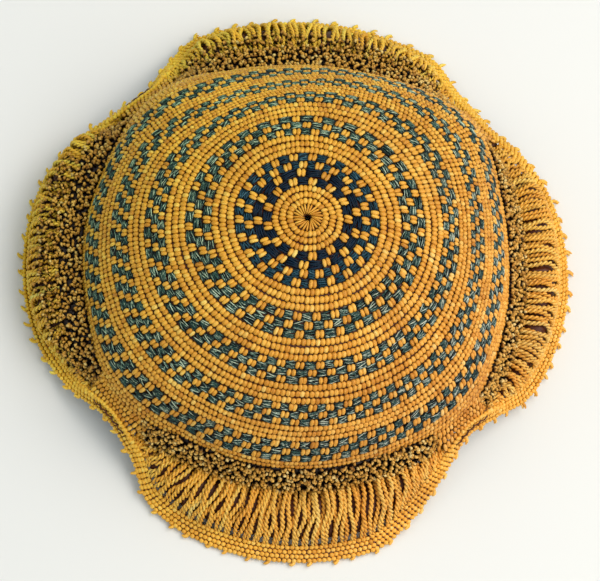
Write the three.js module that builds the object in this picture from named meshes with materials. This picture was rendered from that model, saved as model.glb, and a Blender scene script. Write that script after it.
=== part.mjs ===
// Raffia prestige cap. A domed crown of hitches worked over a coiled core, a band of loop pile
// round its foot, a skirt of twisted cords, and a hitched border edged with picots. The last
// four make a brim that is drawn in at four tucks, so it hangs in four lobes and stands on them.
// Millimetres, +Z up, origin on the floor under the middle of the cap.
import * as THREE from 'three';

const APEX_HEIGHT = 76;
const FOOT_HEIGHT = 25; // where the crown's wall ends, before the tucks pull it outward
const FOOT_RADIUS = 92.5;
const DOME_RADIUS = 94; // the crown is a superellipse of this half width and power
const DOME_POWER = 2.1;
const FLARE_START = 55; // the radius at which the tucks begin to pull the crown out of round
const HOLE_RADIUS = 1.5; // the small hole where the coil begins
const CROWN_WALL = 3;

const PILE_WIDTH = 12; // along the slope of the brim, as BORDER_WIDTH is
const PILE_BACKING = 2;
const LOOP_HEIGHT = 2.6;
const LOOP_ROWS = 3;
const LOW_LOOP = 0.35; // a low loop's share of LOOP_HEIGHT
const OPEN_PILE_FALL = 60; // a pile this steep still stands up, and is pressed flat
const SHUT_PILE_FALL = 78; // by the tuck where it is this steep

const BUNDLES = 88; // of cords, with a hole beside each at the border, and a picot beyond it
const HOLE_SHARE = 0.1; // the holes' share of the cords' length
const CORD_WALL = 1.6; // thickness below the brim's upper face
const CORD_RIDGE = 0.9; // height of a bundle above it

const BORDER_WIDTH = 7;
const BORDER_WALL = 2.4;
const BORDER_RIBS = 2;
const BORDER_RIB = 0.6;
const BORDER_HEEL = 0.5; // the lower outer corner is cut back by this, and treads the floor

const PICOT_LENGTH = 2.4;
const PICOT_ROOT = 0.9; // width of the edging between two picots
const PICOT_TOP = -0.2; // its upper and lower side, from the brim's upper face
const PICOT_UNDERSIDE = -1.2;
const PICOT_CLEARANCE = 0.1; // above the floor

const GAP = 0.3; // between pieces that touch

// The brim's shape at its lobes and tucks, going round from +X towards +Y. A reach is a radius
// and a height is above the floor, at the crown's foot and at the border's outer edge. A fall is
// a slope in degrees, of the pile and of the border. The arch is how far the cords bow up
// between them.
const brimColumns = [
  'azimuth', 'footReach', 'footHeight', 'pileFall', 'arch', 'edgeReach', 'edgeHeight', 'edgeFall',
];
const brimRows = [
  [0, 92.5, 25, 45, 7, 123.5, 1.2, 45], // lobe at +X
  [20, 96, 25, 45, 6, 125.5, 2, 45],
  [31, 101, 25.5, 60, 1, 121, 8, 40],
  [40, 104, 26, 80, 0, 114.5, 14, 40], // tuck
  [50, 102, 26, 64, 0, 118.5, 9, 35],
  [62, 98, 26, 25, 3, 129.5, 2.4, 40],
  [75, 94.5, 26, 15, 4.5, 129.5, 1.35, 40],
  [95, 92.5, 26, 15, 6, 127.5, 1.35, 40], // lobe at +Y
  [110, 94, 26, 25, 5, 125.5, 2.4, 40],
  [119, 97, 26.5, 60, 0.5, 116, 9, 40],
  [130, 98.5, 27, 86, 0, 106.3, 16.5, 55], // tuck
  [139, 97, 26.5, 70, 0, 109, 13, 50],
  [150, 94, 26, 20, 4, 117, 4, 50],
  [160, 92.5, 25, 8, 6, 119.5, 1, 50], // lobe at -X
  [180, 92, 25, 5, 6.5, 118, 1, 50],
  [195, 92.5, 25, 10, 5.5, 115.5, 2, 50],
  [208, 96, 24.5, 55, 1, 111, 7, 50],
  [221, 98.5, 24, 86, 0, 106, 14, 58], // tuck
  [231, 96, 24.5, 68, 0, 109.5, 9, 45],
  [240, 93, 25, 60, 3, 120, 2.8, 35],
  [252, 92.5, 25, 60, 5, 124.5, 1.5, 32],
  [270, 92.5, 25, 60, 5, 126.5, 1.5, 30], // lobe at -Y
  [285, 92.5, 25, 60, 5, 126, 1.5, 30],
  [296, 93, 25, 60, 4, 118.5, 3.8, 33],
  [306, 95, 24.5, 68, 0.5, 110, 8, 42],
  [316, 97, 24, 86, 0, 104.5, 14, 58], // tuck
  [325, 96.5, 24.5, 68, 0, 108.5, 10, 48],
  [334, 94.5, 25, 55, 4, 116, 4.5, 42],
  [346, 93, 25, 48, 7, 120, 1.2, 45],
];
const brimSections = brimRows.map((row) =>
  Object.fromEntries(brimColumns.map((name, column) => [name, row[column]])));

const smoothstep = THREE.MathUtils.smoothstep;
const polar = (azimuth, radius, height) =>
  new THREE.Vector3(radius, 0, height).applyAxisAngle(new THREE.Vector3(0, 0, 1), azimuth);

// A column's value at an azimuth in radians. The curve passes through the rows without
// overshooting them, and closes round the cap.
function brimValue(name, azimuth) {
  const count = brimSections.length;
  const degrees = THREE.MathUtils.radToDeg(azimuth);
  const value = (k) => brimSections[(k + count) % count][name];
  const angle = (k) => brimSections[(k + count) % count].azimuth + 360 * Math.floor(k / count);
  const slope = (k) => (value(k + 1) - value(k)) / (angle(k + 1) - angle(k));
  const tangent = (k) => {
    if (slope(k - 1) * slope(k) <= 0) return 0;
    return 2 / (1 / slope(k - 1) + 1 / slope(k));
  };
  const k = brimSections.findLastIndex((section) => section.azimuth <= degrees);
  const span = angle(k + 1) - angle(k);
  const u = (degrees - angle(k)) / span;
  const ease = u * u * (3 - 2 * u);
  return value(k) * (1 - ease) + value(k + 1) * ease
    + span * u * (1 - u) * ((1 - u) * tangent(k) - u * tangent(k + 1));
}

// The brim at one azimuth: a function that gives the point at a share of a zone's width
// (zone 0 is the pile, 1 the cords and 2 the border) and a height above the upper face.
function brimAt(azimuth) {
  const value = (name) => brimValue(name, azimuth);
  const downSlope = (fall, length) => {
    const angle = THREE.MathUtils.degToRad(value(fall));
    return new THREE.Vector2(Math.cos(angle), -Math.sin(angle)).multiplyScalar(length);
  };
  const foot = new THREE.Vector2(value('footReach'), value('footHeight'));
  const edge = new THREE.Vector2(value('edgeReach'), value('edgeHeight'));
  const pileEnd = foot.clone().add(downSlope('pileFall', PILE_WIDTH));
  const borderStart = edge.clone().sub(downSlope('edgeFall', BORDER_WIDTH));
  const chord = borderStart.clone().sub(pileEnd);
  const bow = new THREE.Vector2(-chord.y, chord.x).setLength(2 * value('arch'));
  const bowed = pileEnd.clone().lerp(borderStart, 0.5).add(bow);

  const pile = new THREE.LineCurve(foot, pileEnd);
  const cords = new THREE.QuadraticBezierCurve(pileEnd, bowed, borderStart);
  const border = new THREE.CubicBezierCurve( // it sets out the way that the cords arrive
    borderStart,
    borderStart.clone().addScaledVector(cords.getTangent(1), BORDER_WIDTH / 3),
    edge.clone().sub(downSlope('edgeFall', BORDER_WIDTH / 3)),
    edge,
  );
  const zones = [pile, cords, border];
  const fold = pile.getTangent(1).add(cords.getTangent(0)).normalize();

  return (zone, share, height) => {
    const atFold = (zone === 0 && share === 1) || (zone === 1 && share === 0);
    const along = atFold ? fold : zones[zone].getTangentAt(share);
    const point = zones[zone].getPointAt(share);
    if (share === 0) point.addScaledVector(along, GAP / 2);
    if (share === 1) point.addScaledVector(along, -GAP / 2);
    return polar(azimuth, point.x - along.y * height, point.y + along.x * height);
  };
}

// The crown at one azimuth: a function that gives the point at a turn of the dome, from the
// apex down, and a depth into its wall.
const turnAt = (radius) => Math.asin((radius / DOME_RADIUS) ** (DOME_POWER / 2));
const footTurn = turnAt(FOOT_RADIUS);
const domeDepth = (APEX_HEIGHT - FOOT_HEIGHT) / (1 - Math.cos(footTurn) ** (2 / DOME_POWER));

function crownAt(azimuth) {
  const pull = brimValue('footReach', azimuth) - FOOT_RADIUS;
  const lift = brimValue('footHeight', azimuth) - FOOT_HEIGHT;
  const outer = (turn) => {
    const radius = DOME_RADIUS * Math.sin(turn) ** (2 / DOME_POWER);
    const height = APEX_HEIGHT - domeDepth * (1 - Math.cos(turn) ** (2 / DOME_POWER));
    const flare = smoothstep(radius, FLARE_START, FOOT_RADIUS);
    return new THREE.Vector2(radius + flare * pull, height + flare * lift);
  };
  return (turn, depth) => {
    const step = 0.01;
    const along = outer(turn + step / 2).sub(outer(turn - step / 2)).normalize();
    const point = outer(turn);
    return polar(azimuth, point.x + along.y * depth, point.y - along.x * depth);
  };
}

// A closed ring round the cap. sectionAt(i) gives the wall's outline at step i, a point list
// that runs outward along the upper face and back along the lower one. Where notchedAt(i), the
// wall's last cell before its outer end is cut away.
function ringGeometry(steps, sectionAt, notchedAt = () => false) {
  const points = Array.from({ length: steps }, (_, i) => sectionAt(i)).flat();
  const size = points.length / steps;
  const index = [];
  const at = (i, k) => (i % steps) * size + (k % size);
  const quad = (a, b, c, d) => { // split along its shorter diagonal
    const splitAC = points[a].distanceTo(points[c]) < points[b].distanceTo(points[d]);
    index.push(...(splitAC ? [a, b, c, a, c, d] : [a, b, d, b, c, d]));
  };
  const [inner, outer, outerUnder, innerUnder] = [-2, -1, 0, 1].map((k) => size / 2 + k);
  for (let i = 0; i < steps; i += 1) {
    for (let k = 0; k < size; k += 1) {
      if (notchedAt(i) && k >= inner && k <= outerUnder) continue;
      quad(at(i, k), at(i, k + 1), at(i + 1, k + 1), at(i + 1, k));
    }
    if (notchedAt(i)) {
      quad(at(i, inner), at(i, innerUnder), at(i + 1, innerUnder), at(i + 1, inner));
      quad(at(i, innerUnder), at(i, inner), at(i, outer), at(i, outerUnder));
      quad(at(i + 1, outerUnder), at(i + 1, outer), at(i + 1, inner), at(i + 1, innerUnder));
    }
  }
  const geometry = new THREE.BufferGeometry();
  geometry.setFromPoints(points);
  geometry.setIndex(index);
  geometry.computeVertexNormals();
  return geometry;
}

const fullTurn = 2 * Math.PI;
const shares = (count) => Array.from({ length: count + 1 }, (_, k) => k / count);

function crownGeometry() {
  const steps = 64;
  const holeTurn = turnAt(HOLE_RADIUS);
  const turns = (count) => shares(count).map((share) => holeTurn + share * (footTurn - holeTurn));
  return ringGeometry(steps, (i) => {
    const azimuth = (i / steps) * fullTurn;
    const crown = crownAt(azimuth);
    const outside = turns(10).map((turn) => crown(turn, 0));
    const inside = turns(7).slice(1, -1).reverse().map((turn) => crown(turn, CROWN_WALL));
    const foot = outside.at(-1).clone().sub(polar(azimuth, CROWN_WALL, 0));
    const hole = outside[0].clone().setZ(outside[0].z - CROWN_WALL);
    return [...outside, foot, ...inside, hole];
  });
}

// The brim's pieces step round together, two steps to a bundle, so that they meet cleanly.
const brimSteps = 2 * BUNDLES;

// How far the brim is open at an azimuth: 1 in a lobe and 0 in a tuck, which presses it flat.
const openness = (azimuth) =>
  1 - smoothstep(brimValue('pileFall', azimuth), OPEN_PILE_FALL, SHUT_PILE_FALL);

function pileGeometry() {
  return ringGeometry(BUNDLES, (i) => {
    const azimuth = (i / BUNDLES) * fullTurn;
    const brim = brimAt(azimuth);
    const upper = shares(2 * LOOP_ROWS).map((share, k) => {
      if (k % 2 === 0) return brim(0, share, 0);
      const row = (k - 1) / 2;
      const loop = (i + row) % 2 === 0 ? 1 : LOW_LOOP;
      return brim(0, share, LOOP_HEIGHT * loop * openness(azimuth));
    });
    upper[0].z -= GAP; // clears the crown where the pile leaves it nearly level
    const root = upper[0].clone().sub(polar(azimuth, PILE_BACKING, 0));
    return [...upper, brim(0, 1, -PILE_BACKING), brim(0, 0.4, -PILE_BACKING), root];
  });
}

function skirtGeometry() {
  const stations = [0, 0.3, 0.6, 1 - HOLE_SHARE, 1];
  const sectionAt = (i) => {
    const azimuth = (i / brimSteps) * fullTurn;
    const brim = brimAt(azimuth);
    const ridge = (i % 2) * CORD_RIDGE * openness(azimuth);
    const upper = stations.map((share) => brim(1, share, share > 0 && share < 1 ? ridge : 0));
    const lower = stations.map((share) => brim(1, share, -CORD_WALL)).reverse();
    return [...upper, ...lower];
  };
  return ringGeometry(brimSteps, sectionAt, (i) => i % 2 === 0);
}

function borderGeometry() {
  const heel = BORDER_HEEL / BORDER_WIDTH;
  return ringGeometry(brimSteps, (i) => {
    const brim = brimAt((i / brimSteps) * fullTurn);
    const upper = shares(2 * BORDER_RIBS).map((share, k) => brim(2, share, (k % 2) * BORDER_RIB));
    const lower = [
      brim(2, 1, BORDER_HEEL - BORDER_WALL),
      brim(2, 1 - heel, -BORDER_WALL),
      brim(2, 0, -BORDER_WALL),
    ];
    lower.forEach((point) => point.setZ(Math.max(point.z, 0)));
    return [...upper, ...lower];
  });
}

function picotGeometry() {
  return ringGeometry(brimSteps, (i) => {
    const azimuth = (i / brimSteps) * fullTurn;
    const brim = brimAt(azimuth);
    const outward = brim(2, 1, 0).sub(brim(2, 0.9, 0)).setLength(GAP);
    const top = brim(2, 1, PICOT_TOP).add(outward);
    const underside = brim(2, 1, PICOT_UNDERSIDE).add(outward);
    underside.z = Math.max(underside.z, PICOT_CLEARANCE);
    const reach = i % 2 === 0 ? PICOT_LENGTH : PICOT_ROOT;
    const tip = top.clone().lerp(underside, 0.5).add(polar(azimuth, reach, 0));
    return [top, tip, underside];
  });
}

const pieces = [
  { name: 'crown', color: 0xc08a35, geometry: crownGeometry() },
  { name: 'loop_pile', color: 0x94702c, geometry: pileGeometry() },
  { name: 'cord_skirt', color: 0xbb7d3a, geometry: skirtGeometry() },
  { name: 'hitched_border', color: 0xd0982f, geometry: borderGeometry() },
  { name: 'picot_edge', color: 0xcf9f3b, geometry: picotGeometry() },
];

const cap = new THREE.Group();
for (const { name, color, geometry } of pieces) {
  const material = new THREE.MeshStandardMaterial({ color, roughness: 0.75, metalness: 0 });
  const mesh = new THREE.Mesh(geometry, material);
  mesh.name = name;
  cap.add(mesh);
}
const middle = new THREE.Box3().setFromObject(cap).getCenter(new THREE.Vector3());
cap.position.set(-middle.x, -middle.y, 0);

export default cap;
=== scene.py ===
import math
import bpy
import numpy as np
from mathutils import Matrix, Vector


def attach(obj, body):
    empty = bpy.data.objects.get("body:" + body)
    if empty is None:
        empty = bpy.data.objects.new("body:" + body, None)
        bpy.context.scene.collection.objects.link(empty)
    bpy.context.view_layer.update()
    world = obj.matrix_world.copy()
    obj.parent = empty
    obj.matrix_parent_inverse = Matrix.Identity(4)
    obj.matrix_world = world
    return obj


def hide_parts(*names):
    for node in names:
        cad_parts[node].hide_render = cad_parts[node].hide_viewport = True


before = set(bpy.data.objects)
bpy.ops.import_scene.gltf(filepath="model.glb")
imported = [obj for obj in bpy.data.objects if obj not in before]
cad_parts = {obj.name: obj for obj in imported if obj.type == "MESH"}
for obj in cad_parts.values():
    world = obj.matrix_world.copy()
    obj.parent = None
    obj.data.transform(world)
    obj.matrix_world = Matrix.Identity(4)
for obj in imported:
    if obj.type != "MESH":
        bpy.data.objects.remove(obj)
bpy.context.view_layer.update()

mm = 0.001
fullTurn = 2 * math.pi

# the cap's shape, in mm and radians round the crown's axis
dome = {
    "apexHeight": 76.0,
    "footHeight": 25.0,
    "footRadius": 92.5,
    "domeRadius": 94.0,
    "power": 2.1,
    "flareStart": 55.0,  # the tucks pull the dome out of round from this radius out
    "outlineSteps": 200,
    "pileWidth": 12.0,
    "borderWidth": 7.0,
    "shutPile": (60.0, 78.0),  # a pile that falls this steeply begins to close, and is shut
    "drawnUp": (0.5, 0.9),  # how shut a tuck is when its border starts up to the foot, and meets it
}

# lobes and tucks of the brim, from +X towards +Y
brimColumns = ("azimuth", "footReach", "footHeight", "pileFall",
               "arch", "edgeReach", "edgeHeight", "edgeFall")
brimRows = np.array([
    (0, 92.5, 25, 45, 7, 123.5, 1.2, 45),
    (20, 96, 25, 45, 6, 125.5, 2, 45),
    (31, 101, 25.5, 60, 1, 121, 8, 40),
    (40, 104, 26, 80, 0, 114.5, 14, 40),
    (50, 102, 26, 64, 0, 118.5, 9, 35),
    (62, 98, 26, 25, 3, 129.5, 2.4, 40),
    (75, 94.5, 26, 15, 4.5, 129.5, 1.35, 40),
    (95, 92.5, 26, 15, 6, 127.5, 1.35, 40),
    (110, 94, 26, 25, 5, 125.5, 2.4, 40),
    (119, 97, 26.5, 60, 0.5, 116, 9, 40),
    (130, 98.5, 27, 86, 0, 106.3, 16.5, 55),
    (139, 97, 26.5, 70, 0, 109, 13, 50),
    (150, 94, 26, 20, 4, 117, 4, 50),
    (160, 92.5, 25, 8, 6, 119.5, 1, 50),
    (180, 92, 25, 5, 6.5, 118, 1, 50),
    (195, 92.5, 25, 10, 5.5, 115.5, 2, 50),
    (208, 96, 24.5, 55, 1, 111, 7, 50),
    (221, 98.5, 24, 86, 0, 106, 14, 58),
    (231, 96, 24.5, 68, 0, 109.5, 9, 45),
    (240, 93, 25, 60, 3, 120, 2.8, 35),
    (252, 92.5, 25, 60, 5, 124.5, 1.5, 32),
    (270, 92.5, 25, 60, 5, 126.5, 1.5, 30),
    (285, 92.5, 25, 60, 5, 126, 1.5, 30),
    (296, 93, 25, 60, 4, 118.5, 3.8, 33),
    (306, 95, 24.5, 68, 0.5, 110, 8, 42),
    (316, 97, 24, 86, 0, 104.5, 14, 58),
    (325, 96.5, 24.5, 68, 0, 108.5, 10, 48),
    (334, 94.5, 25, 55, 4, 116, 4.5, 42),
    (346, 93, 25, 48, 7, 120, 1.2, 45),
])
tucks = np.radians([40, 130, 221, 316])
crownPoints = np.array([v.co[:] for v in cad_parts["crown"].data.vertices])
crownTop = crownPoints[crownPoints[:, 2] > crownPoints[:, 2].max() - 0.1 * mm]
crownAxis = (crownTop.min(axis=0) + crownTop.max(axis=0)) / 2 * (1, 1, 0)


def smoothstep(value, low, high):
    t = np.clip((value - low) / (high - low), 0, 1)
    return t * t * (3 - 2 * t)


def unit(vectors):
    return vectors / np.maximum(np.linalg.norm(vectors, axis=-1, keepdims=True), 1e-12)


def roundCurve(rows, column, azimuth):
    # a smooth curve through the rows that doesn't overshoot them and closes round the cap
    angle = np.radians(rows[:, 0])
    column = rows[:, column]
    angle = np.concatenate([angle[-2:] - fullTurn, angle, angle[:3] + fullTurn])
    column = np.concatenate([column[-2:], column, column[:3]])
    slope = np.diff(column) / np.diff(angle)
    before, after = slope[:-1], slope[1:]
    steady = before * after > 0
    tangent = np.zeros(len(column))
    tangent[1:-1][steady] = 2 / (1 / before[steady] + 1 / after[steady])
    place = np.mod(azimuth, fullTurn)
    k = np.searchsorted(angle, place, side="right") - 1
    span = angle[k + 1] - angle[k]
    u = (place - angle[k]) / span
    ease = u * u * (3 - 2 * u)
    bend = span * u * (1 - u) * ((1 - u) * tangent[k] - u * tangent[k + 1])
    return column[k] * (1 - ease) + column[k + 1] * ease + bend


def brimValue(name, azimuth):
    return roundCurve(brimRows, brimColumns.index(name), azimuth)


def openness(azimuth):
    return 1 - smoothstep(brimValue("pileFall", azimuth), *dome["shutPile"])


def aroundAxis(azimuth, profile):
    # profile points or directions (radius, height) turned to their azimuth
    return np.stack([profile[..., 0] * np.cos(azimuth), profile[..., 0] * np.sin(azimuth),
                     profile[..., 1]], axis=-1)


def placed(azimuth, profile, along, lift):
    # the point at a lift above a profile, with its outward normal and its way down the slope
    along = unit(along)
    facing = np.stack([-along[..., 1], along[..., 0]], axis=-1)
    point = aroundAxis(azimuth, profile + facing * np.asarray(lift)[..., None])
    return point * mm + crownAxis, aroundAxis(azimuth, facing), aroundAxis(azimuth, along)


def crownProfile(azimuth):
    # the dome's outline from the apex to its foot, with the way walked down it
    power, rim = dome["power"], dome["domeRadius"]
    footTurn = math.asin((dome["footRadius"] / rim) ** (power / 2))
    footDrop = 1 - math.cos(footTurn) ** (2 / power)
    turn = np.linspace(0.0005, footTurn, dome["outlineSteps"])
    radius = rim * np.sin(turn) ** (2 / power)
    drop = (dome["apexHeight"] - dome["footHeight"]) / footDrop
    height = dome["apexHeight"] - drop * (1 - np.cos(turn) ** (2 / power))
    flare = smoothstep(radius, dome["flareStart"], dome["footRadius"])
    pull = (brimValue("footReach", azimuth) - dome["footRadius"])[..., None]
    rise = (brimValue("footHeight", azimuth) - dome["footHeight"])[..., None]
    outline = np.stack([radius + flare * pull, height + flare * rise], axis=-1)
    steps = np.linalg.norm(np.diff(outline, axis=-2), axis=-1)
    walked = np.concatenate([outline[..., :1, 0], outline[..., :1, 0] + np.cumsum(steps, axis=-1)],
                            axis=-1)
    return outline, walked


def crownLength(azimuth):
    return crownProfile(np.atleast_1d(azimuth))[1][..., -1]


def crownPlace(azimuth, walked, lift=0.0):
    # azimuth, walked and lift are flat arrays of one length, or numbers
    azimuth, walked, lift = np.broadcast_arrays(np.atleast_1d(azimuth), walked, lift)
    outline, way = crownProfile(azimuth)
    k = np.clip((way <= walked[:, None]).sum(axis=1) - 1, 0, way.shape[1] - 2)
    row = np.arange(len(azimuth))
    start, end = outline[row, k], outline[row, k + 1]
    share = (walked - way[row, k]) / (way[row, k + 1] - way[row, k])
    return placed(azimuth, start + (end - start) * share[:, None], end - start, lift)


def downSlope(fall, azimuth, length):
    # a step of this length down one of the brim's slopes
    angle = np.radians(brimValue(fall, azimuth))
    return np.stack([np.cos(angle), -np.sin(angle)], axis=-1) * length


def brimSection(azimuth):
    # the points (radius, height) that a section of the brim hangs on: the crown's foot, the
    # pile's end, the point the cords bow up towards, the border's start and its edge
    foot = np.stack([brimValue("footReach", azimuth), brimValue("footHeight", azimuth)], axis=-1)
    edge = np.stack([brimValue("edgeReach", azimuth), brimValue("edgeHeight", azimuth)], axis=-1)
    pileEnd = foot + downSlope("pileFall", azimuth, dome["pileWidth"])
    borderStart = edge - downSlope("edgeFall", azimuth, dome["borderWidth"])
    chord = borderStart - pileEnd
    bow = unit(np.stack([-chord[..., 1], chord[..., 0]], axis=-1))
    bowed = (pileEnd + borderStart) / 2 + bow * 2 * brimValue("arch", azimuth)[..., None]
    return foot, pileEnd, bowed, borderStart, edge


def brimPlace(zone, azimuth, share, lift=0.0):
    # share runs from the zone's inner end to its outer one; the arrays may have any one shape
    azimuth, share, lift = np.broadcast_arrays(np.atleast_1d(azimuth), share, lift)
    foot, pileEnd, bowed, borderStart, edge = brimSection(azimuth)
    t = share[..., None]
    if zone == "pile":
        along = pileEnd - foot
        point = foot + along * t
    elif zone == "tuck":  # where the pile is shut the border is drawn up against the crown's foot
        shut = smoothstep(1 - openness(azimuth), *dome["drawnUp"])[..., None]
        along = pileEnd + (borderStart - pileEnd) * shut - foot
        point = foot + along * t
    elif zone == "cords":
        along = (bowed - pileEnd) * (1 - t) + (borderStart - bowed) * t
        point = pileEnd * (1 - t) ** 2 + bowed * 2 * t * (1 - t) + borderStart * t ** 2
    else:  # the border leaves the cords smoothly and turns down to its edge
        third = dome["borderWidth"] / 3
        first = borderStart + unit(borderStart - bowed) * third
        second = edge - downSlope("edgeFall", azimuth, third)
        along = ((first - borderStart) * (1 - t) ** 2 + (second - first) * 2 * t * (1 - t)
                 + (edge - second) * t ** 2)
        point = (borderStart * (1 - t) ** 3 + first * 3 * t * (1 - t) ** 2
                 + second * 3 * t ** 2 * (1 - t) + edge * t ** 3)
    return placed(azimuth, point, along, lift)


view = {
    "around": 13.0,  # degrees the camera stands to the left of straight in front
    "above": 67.8,  # degrees
    "distance": 1.0,
    "aimHeight": 0.033,
    "lens": 140.5,
    "sensor": 36,
    "shift": (0.0026, -0.0584),
    "clipEnd": 20,
}


def addCamera():
    around, above = math.radians(view["around"]), math.radians(view["above"])
    toCamera = Vector((-math.sin(around) * math.cos(above),
                       -math.cos(around) * math.cos(above), math.sin(above)))
    aim = Vector(crownAxis) + Vector((0, 0, view["aimHeight"]))
    bpy.ops.object.camera_add(location=aim + toCamera * view["distance"])
    camera = bpy.context.object
    # the frame stands upright against the cap's own front-to-back line
    sight = -toCamera
    right = sight.cross(Vector((0, 1, 0))).normalized()
    up = right.cross(sight)
    turn = camera.matrix_world.to_3x3()
    turn.col[0], turn.col[1], turn.col[2] = right, up, toCamera
    camera.rotation_euler = turn.to_euler()
    camera.data.lens = view["lens"]
    camera.data.sensor_fit = "HORIZONTAL"
    camera.data.sensor_width = view["sensor"]
    camera.data.shift_x, camera.data.shift_y = view["shift"]
    camera.data.clip_end = view["clipEnd"]
    bpy.context.scene.camera = camera


def toLinear(hexColour):
    channels = [int(hexColour[i:i + 2], 16) / 255 for i in (1, 3, 5)]
    return (*[c / 12.92 if c <= 0.04045 else ((c + 0.055) / 1.055) ** 2.4 for c in channels], 1.0)


def addNode(tree, kind, inputs=None, **settings):
    # a node with its settings, and what each of its inputs is set to or fed from; a Mix node's
    # colours are its inputs 6 and 7, and its mixed colour is its output 2
    node = tree.nodes.new("ShaderNode" + kind)
    for name, value in settings.items():
        setattr(node, name, value)
    for socket, source in (inputs or {}).items():
        if isinstance(source, bpy.types.NodeSocket):
            tree.links.new(source, node.inputs[socket])
        else:
            node.inputs[socket].default_value = source
    return node


def newMaterial(name):
    material = bpy.data.materials.new(name)
    material.use_nodes = True
    return material, material.node_tree, material.node_tree.nodes["Principled BSDF"]


studio = {
    "floor": "#e9ecea",
    "floorSize": 6,
    "floorDrop": 0.0002,  # the floor stays just under the CAD's lowest faces
    "lamps": {  # where each stands, its size, watts and colour
        "key": ((0.72, 0.12, 1.02), 1.2, 13, "#fff4ec"),
        "front": ((0.60, -0.70, 1.0), 0.8, 4.5, "#fffaf4"),
        "fill": ((-0.95, 0.1, 0.8), 1.0, 2.5, "#f4f8ff"),
    },
    "aim": (0, 0, 0.03),
    "sky": "#e9f2f3",
    "skyStrength": 0.45,
}


def addFloor():
    # matte paper: no shine at all, so that the shadows stay soft and pale
    bpy.ops.object.select_all(action="DESELECT")
    bpy.ops.mesh.primitive_plane_add(size=studio["floorSize"], location=(0, 0, -studio["floorDrop"]))
    floor = bpy.context.object
    floor.name = "floor"
    material, _, surface = newMaterial("matte white paper")
    surface.inputs["Base Color"].default_value = toLinear(studio["floor"])
    surface.inputs["Roughness"].default_value = 0.9
    floor.data.materials.append(material)


def addLights():
    for name, (place, size, watts, colour) in studio["lamps"].items():
        bpy.ops.object.light_add(type="AREA", location=place)
        lamp = bpy.context.object
        lamp.name = name
        lamp.data.size = size
        lamp.data.energy = watts
        lamp.data.color = toLinear(colour)[:3]
        sight = Vector(studio["aim"]) - Vector(place)
        lamp.rotation_euler = sight.to_track_quat("-Z", "Y").to_euler()
    world = bpy.context.scene.world or bpy.data.worlds.new("studio")
    bpy.context.scene.world = world
    world.use_nodes = True
    background = world.node_tree.nodes["Background"]
    background.inputs["Color"].default_value = toLinear(studio["sky"])
    background.inputs["Strength"].default_value = studio["skyStrength"]
    bpy.context.scene.view_settings.view_transform = "Standard"


def addFibres(tree, look, tone):
    # the strand's map is in mm, and each strand reads its own stretch of one noise
    strandMap = addNode(tree, "UVMap", uv_map="strand").outputs["UV"]
    own = addNode(tree, "VectorMath", {0: tone, 1: (91, 57, 33)}, operation="MULTIPLY")
    apart = addNode(tree, "VectorMath", {0: strandMap, 1: own.outputs["Vector"]}, operation="ADD")
    stretched = addNode(tree, "Mapping", {"Vector": apart.outputs["Vector"],
                                          "Scale": (*look["fibresPerMm"], 1.0)})
    fibres = addNode(tree, "TexNoise", {"Vector": stretched.outputs["Vector"],
                                        "Scale": 1.0, "Detail": 3.0, "Roughness": 0.65})
    return fibres.outputs["Fac"]


def addDyeAndLightTint(tree, look, tone, fibres, where):
    # each strand's shade, streaked by its fibres
    streak = addNode(tree, "Math", {0: fibres, 1: look["streak"], 2: -look["streak"] / 2},
                     operation="MULTIPLY_ADD")
    shade = addNode(tree, "Math", {0: tone, 1: streak.outputs["Value"]}, operation="ADD")
    ramp = addNode(tree, "ValToRGB", {"Fac": shade.outputs["Value"]})
    stops = look["shades"]
    while len(ramp.color_ramp.elements) < len(stops):
        ramp.color_ramp.elements.new(0.5)
    for element, (position, colour) in zip(ramp.color_ramp.elements, stops):
        element.position = position
        element.color = toLinear(colour)

    # painted light tint with uneven fading: greener towards the far left, in shade, redder towards the
    # near right, where the key light falls
    reach = look["lightAndFadeReach"] * mm
    axis = addNode(tree, "VectorMath", {0: where, 1: look["lightAndFadeWay"]}, operation="DOT_PRODUCT")
    side = addNode(tree, "MapRange", {"Value": axis.outputs["Value"],
                                      "From Min": -reach, "From Max": reach})
    cast = addNode(tree, "Mix", {0: side.outputs["Result"], 6: toLinear(look["farShadeAndFade"]),
                                 7: toLinear(look["nearLightAndFade"])}, data_type="RGBA")
    litAndFaded = addNode(tree, "Mix", {0: 1.0, 6: ramp.outputs["Color"], 7: cast.outputs[2]},
                    data_type="RGBA", blend_type="MULTIPLY")
    return litAndFaded.outputs[2]


def addDirtAndRootShade(tree, look, dyed, where):
    # handling grime in soft patches, and painted shade, with a little dirt, at the roots where the
    # strand dives
    patches = addNode(tree, "TexNoise", {"Vector": where, "Scale": 1 / (look["grimePatch"] * mm),
                                         "Detail": 2.0})
    clean, worst = look["grimeSpan"]
    worn = addNode(tree, "MapRange", {"Value": patches.outputs["Fac"], "From Min": clean,
                                      "From Max": worst, "To Max": look["grime"]})
    grimy = addNode(tree, "Mix", {0: worn.outputs["Result"], 6: dyed, 7: toLinear(look["grimeHue"])},
                    data_type="RGBA", blend_type="MULTIPLY")
    # painted shade: how high each point stands on its piece, low at roots, gaps and grooves
    rise = addNode(tree, "Attribute", attribute_name="rise")
    darkest, clear = look["rootShadeSpan"]
    depth = addNode(tree, "MapRange", {"Value": rise.outputs["Fac"], "From Min": darkest,
                                       "From Max": clear, "To Min": 1.0, "To Max": 0.0},
                    interpolation_type="SMOOTHSTEP")
    rootShaded = addNode(tree, "Mix", {0: depth.outputs["Result"], 6: grimy.outputs[2],
                                   7: toLinear(look["root"])}, data_type="RGBA")
    return rootShaded.outputs[2]


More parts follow.
